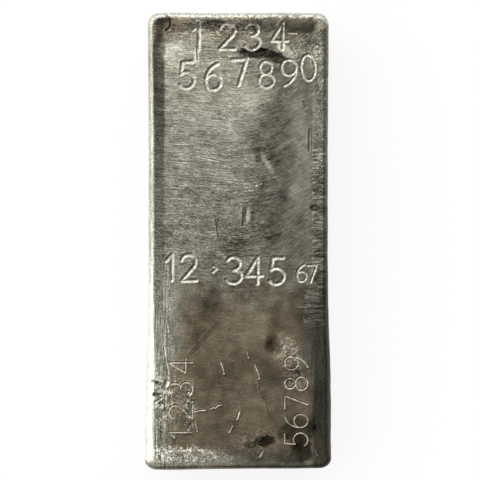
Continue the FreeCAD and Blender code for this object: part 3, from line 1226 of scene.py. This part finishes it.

# %% [markdown]
# Where the skin was chewed up, painted glints stand for the light off its small facets.

# %% Painted glints on chewed skin
# x, y, half width, half length, turn, strength
CHEWED_SKIN = [
    (-46.0, -93.0, 5.5, 15.0, 0, 0.6),
    (-28.6, -98.0, 3.0, 15.0, 0, 1.0),
    (30.0, -66.0, 6.5, 10.0, 15, 0.6),
    (-38.0, -92.0, 8.0, 14.0, 0, 0.35),
    (-31.0, -125.5, 24.0, 5.0, -3, 0.9),
    (33.0, -80.0, 7.0, 9.0, 0, 0.5),
    (-6.0, 126.0, 30.0, 5.0, 0, 0.5),
    (39.0, 112.0, 10.0, 9.0, 0, 0.5),
    (10.0, -118.0, 12.0, 7.0, 0, 0.35),
]
CHEWED_SOFT, CHEWED_RAGGED = 0.5, 1.6
chewed = 0.0
for x, y, wide, tall, turn, strength in CHEWED_SKIN:
    mask = oval_mask(x, y, wide, tall, turn, CHEWED_SOFT, CHEWED_RAGGED)
    chewed = most(times(mask, strength), chewed)
# Painted glints: the chewed skin is lit up in specks, as its small facets would catch the light.
facet_glints = add(centred(crunch, 1.6), centred(chunks, 2.0))
facet_glints = most(add(facet_glints, 0.02), -0.1)
tone = times_add(facet_glints, chewed, tone)
report("chewed skin")

# %% [markdown]
# Level ticks from the mould tool cross the right-hand slope. Above them the right edge gets painted
# glints, and the right side is painted a little darker as shade. The shoulder on the right and at the
# foot faces away from the light, so it gets a little painted light.

# %% Ticks, painted glints, painted shade and lifted shoulders
tick_place = vectors("MULTIPLY", place, (0.16, 1.3, 0.3))
tick_noise = cloud(tick_place, 1.0, 2.0, 0.6)
ticks = add(step(tick_noise, 0.5, 0.62), step(tick_noise, 0.44, 0.36, 0.0, -0.4))
tick_start = step(along, -10.0, -32.0, 42.6, 38.0)
tick_zone = times(step(less(across, tick_start), 0.0, 1.5), step(across, 52.0, 50.6))
tick_zone = times(tick_zone, times(step(along, 72.0, 50.0), step(along, -56.0, -46.0)))
tone = times_add(times(ticks, tick_zone), 0.17, tone)

# Painted glints along the right edge.
glint = step(crunch, 0.56, 0.66)
glint_zone = times(step(across, 43.0, 47.0), step(along, 12.0, 50.0))
tone = times_add(times(glint, glint_zone), 0.33, tone)
# Painted shade: the right side, which faces away from the light, is made a little darker.
right_side = step(across, 42.0, 46.0)
tone = times_add(right_side, step(along, 24.0, 60.0, -0.09, -0.05), tone)
# Painted light: the shoulder on the right and at the foot, which faces away from the light, is lifted
# a little.
shoulder_right = times(right_side, step(along, -30.0, 20.0))
shoulder_foot = times(step(along, -128.0, -131.0), step(across, 0.0, -20.0, 0.0, 1.3))
shoulder_painted_lift = times(add(shoulder_right, shoulder_foot), step(inset_in, 4.4, 2.8))
tone = times_add(shoulder_painted_lift, 0.07, tone)
report("ticks, glints and bare shoulders")

# %% [markdown]
# Edges and struck grooves come last. The rim on the left and at the head, which face the light, gets
# a painted highlight, most of all at the left of the foot. A punch leaves its groove bright, and the
# grooves also carry painted highlights. Dirt fills the old scratches.

# %% Painted rim highlight and struck grooves
ragged_inset = add(inset_in, centred(mottle, 1.4))
at_head = step(along, 120.0, 129.0)
tear = times(warp_along_y, times_add(at_head, 9.0, 1.0))
foot_left = times(step(along, -50.0, -80.0), step(across, -30.0, -40.0))
# Painted highlight along the rim on the left and at the head, which face the light, widest at the
# left of the foot.
rim_highlight = times_add(foot_left, -1.6, add(ragged_inset, tear))
rim_highlight = step(times_add(at_head, 0.4, rim_highlight), step(along, 100.0, 40.0, 4.0, 4.9), 2.2)
lit_edge = most(step(across, 48.0, 30.0), step(along, 125.0, 132.0))
foot_edge = step(along, -131.0, -128.0)
rim_highlight = times(rim_highlight, times(lit_edge, foot_edge))
rim_highlight_tone = add(step(along, 0.0, -40.0, 0.7, 0.96), centred(upright, 0.8))
rim_highlight_tone = add(rim_highlight_tone, step(along, 84.0, 108.0, 0.0, -0.1))
rim_highlight_tone = blend_values(at_head, rim_highlight_tone, add(0.72, centred(chunks, 0.9)))
rim_highlight_tone = add(rim_highlight_tone, step(inset_in, 1.6, 0.4, 0.0, 0.14))
rim_highlight_tone = add(rim_highlight_tone, centred(speckle, 1.2))
tone = blend_values(times(rim_highlight, 0.9), tone, rim_highlight_tone)
# The grooves are bright struck metal, and are painted brighter still as highlights on their walls.
groove_and_highlight_tone = add(0.66, centred(chunks, 1.3))
tone = blend_values(times(most(struck_in, 0.0), 0.9), tone, groove_and_highlight_tone)
filled = most(times(struck_in, -1.0), 0.0)
tone = blend_values(times(filled, 0.85), tone, 0.17)
report("worn edges and struck grooves")

# %% [markdown]
# The walls were shaped by the iron mould and never brushed. They are paler and more even,
# with level laps where the rising metal paused, and a few darker runs.

# %% Cast walls
lap_place = vectors("MULTIPLY", place, (0.05, 0.05, 0.8))
laps = cloud(lap_place, 1.0, 3.0, 0.6)
blotches = cloud(place, 0.09, 5.0, 0.6)
pits = cloud(place, 1.1, 3.0, 0.6)
wall_tone = add(0.65, centred(laps, 0.2))
wall_tone = add(wall_tone, centred(blotches, 0.34))
wall_tone = add(wall_tone, centred(pits, 0.22))
on_wall = step(ragged_inset, 0.0, -3.0)
tone = blend_values(on_wall, tone, wall_tone)
report("cast walls")

# %% [markdown]
# The ramp turns tone into metal.

# %% Tone to colour
GREYS = [0.0, 0.12, 0.24, 0.36, 0.48, 0.6, 0.74, 0.88, 1.0]
GAMMA = 2.2
WARMTH = 0.12


def seen(brightness):
    """The metal's colour at a tone: neutral when pale, leaning to olive when dark."""
    warm = WARMTH * (1 - brightness)
    red, green, blue = brightness, brightness * (1 - 0.15 * warm), brightness * (0.955 - warm)
    return (*[channel**GAMMA for channel in (red, green, blue)], 1.0)


metal = read_ramp(tone, [(grey, seen(grey)) for grey in GREYS])
report("tone to colour")

# %% [markdown]
# Two browns are laid over it: a warm tarnish over the foot half, and scorched patches by the head
# edge. Walls, the rim with its painted highlight and struck grooves are left out of them.

# %% Brown tarnish
TARNISH = (1.06, 0.86, 0.74, 1.0)

foot_brown = step(add(ragged_along, centred(broad, 20.0)), -14.0, -46.0)
inner_start = add(across, step(along, -80.0, -60.0, 0.0, -8.0))
inner_start = add(inner_start, add(centred(mottle, 18.0), centred(upright, 10.0)))
inner = step(inner_start, -48.0, -34.0)
inner = times(inner, less(1.0, right_band))
inner = times(inner, times_add(chewed, -0.6, 1.0))
brown_share = times(foot_brown, times(inner, step(along, -129.0, -119.0, 0.3, 1.0)))
brown_share = times(brown_share, step(mottle, 0.36, 0.5, 0.6, 1.0))
scorched_from = add(along, add(centred(mottle, 30.0), centred(chunks, 16.0)))
head_brown = times(step(scorched_from, 112.0, 128.0), step(mottle, 0.36, 0.6, 0.2, 0.75))
head_brown = most(head_brown, step(along, 50.0, 100.0, 0.0, 0.14))
head_brown = times(head_brown, step(inset_in, 2.0, 4.0))
brown_share = most(brown_share, head_brown)
bare_and_lit = most(most(on_wall, rim_highlight), struck_in)
brown_share = times(brown_share, less(1.0, bare_and_lit))
colour = blend_colours(brown_share, metal, TARNISH, "MULTIPLY")
feed(surface.inputs["Base Color"], colour)
report("brown tarnish")

# %% [markdown]
# Brushed metal scatters light, and the smooth slope, the rim under its painted highlight and the
# grooves less so. The relief is only the finest grain, since everything larger is in the mesh.

# %% Roughness and fine relief
BRUSHED_ROUGH, SMOOTH_ROUGH, WALL_ROUGH = 0.3, 0.24, 0.36
BUMP_STRENGTH, BUMP_DISTANCE = 0.7, 0.12 * MM

smoothed = most(most(rim_highlight, shaded_slope), most(struck_in, 0.0))
rough = blend_values(smoothed, add(BRUSHED_ROUGH, centred(speckle, 0.3)), SMOOTH_ROUGH)
rough = blend_values(on_wall, rough, add(WALL_ROUGH, centred(blotches, 0.3)))
feed(surface.inputs["Roughness"], rough)

bump = put("ShaderNodeBump")
bump.inputs["Strength"].default_value = BUMP_STRENGTH
bump.inputs["Distance"].default_value = BUMP_DISTANCE
relief = times(times(fine, brushed_share), 0.6)
relief = add(relief, times(speckle, 0.8))
relief = add(relief, times(times(upright, streaked), 3.0))
wall_relief = times_add(pits, 1.6, times(laps, 5.0))
feed(bump.inputs["Height"], blend_values(on_wall, relief, wall_relief))
feed(surface.inputs["Normal"], bump.outputs[0])
mesh.materials.append(silver)
report("the whole silver")

# %% [markdown]
# ## Floor, light and camera
#
# The bar lies on a plain pale floor. The floor glows for the camera and for what the metal
# sends on, so it looks white, and it lies a hair below the bar.

# %% Floor
FLOOR_SIZE = 6.0
FLOOR_GAP = 0.2 * MM
PALE = (0.9, 0.9, 0.89, 1)
FLOOR_ROUGH = 0.9
GLOW_SHARE = 0.85

floor_mesh = bpy.data.meshes.new("floor")
half = FLOOR_SIZE / 2
corners = [(-half, -half, 0), (half, -half, 0), (half, half, 0), (-half, half, 0)]
floor_mesh.from_pydata(corners, [], [(0, 1, 2, 3)])
floor = bpy.data.objects.new("floor", floor_mesh)
floor.location.z = bar_low.z - FLOOR_GAP
bpy.context.scene.collection.objects.link(floor)


def seen_directly():
    """1 for rays from the camera, and for rays that metal or glass send on."""
    path = put("ShaderNodeLightPath")
    share = most(path.outputs["Is Camera Ray"], path.outputs["Is Glossy Ray"])
    return most(share, path.outputs["Is Transmission Ray"])


pale = bpy.data.materials.new("pale floor")
pale.use_nodes = True
tree = pale.node_tree
pale_surface = tree.nodes["Principled BSDF"]
pale_surface.inputs["Base Color"].default_value = PALE
pale_surface.inputs["Roughness"].default_value = FLOOR_ROUGH
glow = put("ShaderNodeEmission")
mix = put("ShaderNodeMixShader")
feed(mix.inputs[0], times(seen_directly(), GLOW_SHARE))
tree.links.new(pale_surface.outputs[0], mix.inputs[1])
tree.links.new(glow.outputs[0], mix.inputs[2])
tree.links.new(mix.outputs[0], tree.nodes["Material Output"].inputs[0])
floor_mesh.materials.append(pale)
report("the floor")

# %% [markdown]
# Metal shows what is round it, so the light is a soft studio sky: bright on the left and at
# the head, and dark on the right and at the foot. That draws each groove with one dark wall
# and one bright one. The low sky is more even, as a room's walls are. The camera itself sees
# plain white.

# %% Sky
LIT_FROM = (-0.6, 0.8, 0.0)
WHITE = (1, 1, 1, 1)
# How far towards the light, from 0 to 1, and the sky's brightness there
HIGH_SKY = [(0.0, 0.1), (0.25, 0.12), (0.4, 0.3), (0.5, 1.0), (0.6, 1.8), (0.75, 2.8)]
LOW_SKY = [(0.0, 0.72), (0.5, 0.95), (0.8, 1.45)]

world = bpy.data.worlds.new("soft studio")
world.use_nodes = True
bpy.context.scene.world = world
tree = world.node_tree
background = tree.nodes["Background"]
direction = put("ShaderNodeTexCoord").outputs["Generated"]
facing = vectors("DOT_PRODUCT", direction, LIT_FROM)
apart = put("ShaderNodeSeparateXYZ")
feed(apart.inputs[0], direction)
low_down = step(apart.outputs[2], 0.62, 0.38)


towards_light = times_add(facing, 0.5, 0.5)


def sky_levels(stops):
    """The sky's grey level, read by how far a direction faces the light."""
    return read_ramp(towards_light, [(share, (level, level, level, 1)) for share, level in stops])


glow_in_room = blend_colours(low_down, sky_levels(HIGH_SKY), sky_levels(LOW_SKY))
seen_by_camera = put("ShaderNodeLightPath").outputs["Is Camera Ray"]
feed(background.inputs[0], blend_colours(seen_by_camera, glow_in_room, WHITE))
background.inputs[1].default_value = 1.0
print(f"a sky of {len(tree.nodes)} nodes, lit from {LIT_FROM}")

# %% [markdown]
# The camera looks straight down from well above, a hair off the middle, and takes in a little
# more than the bar's length.

# %% Camera
VIEW_HEIGHT = 282.4 * MM
DISTANCE = 1.6
OFF_MIDDLE_X, OFF_MIDDLE_Y = 1.0 * MM, 0.7 * MM
SENSOR = 36.0
CLIP_END = 20.0

camera_data = bpy.data.cameras.new("camera")
camera = bpy.data.objects.new("camera", camera_data)
bpy.context.scene.collection.objects.link(camera)
camera_data.sensor_width = SENSOR
camera_data.lens = SENSOR * DISTANCE / VIEW_HEIGHT
camera.location = (OFF_MIDDLE_X, OFF_MIDDLE_Y, bar_high.z + DISTANCE)
camera.rotation_euler = (0, 0, 0)
camera_data.clip_end = CLIP_END
bpy.context.scene.camera = camera
bpy.context.scene.view_settings.view_transform = "Standard"
print(f"lens {camera_data.lens:.0f} mm, {DISTANCE} m above the bar")
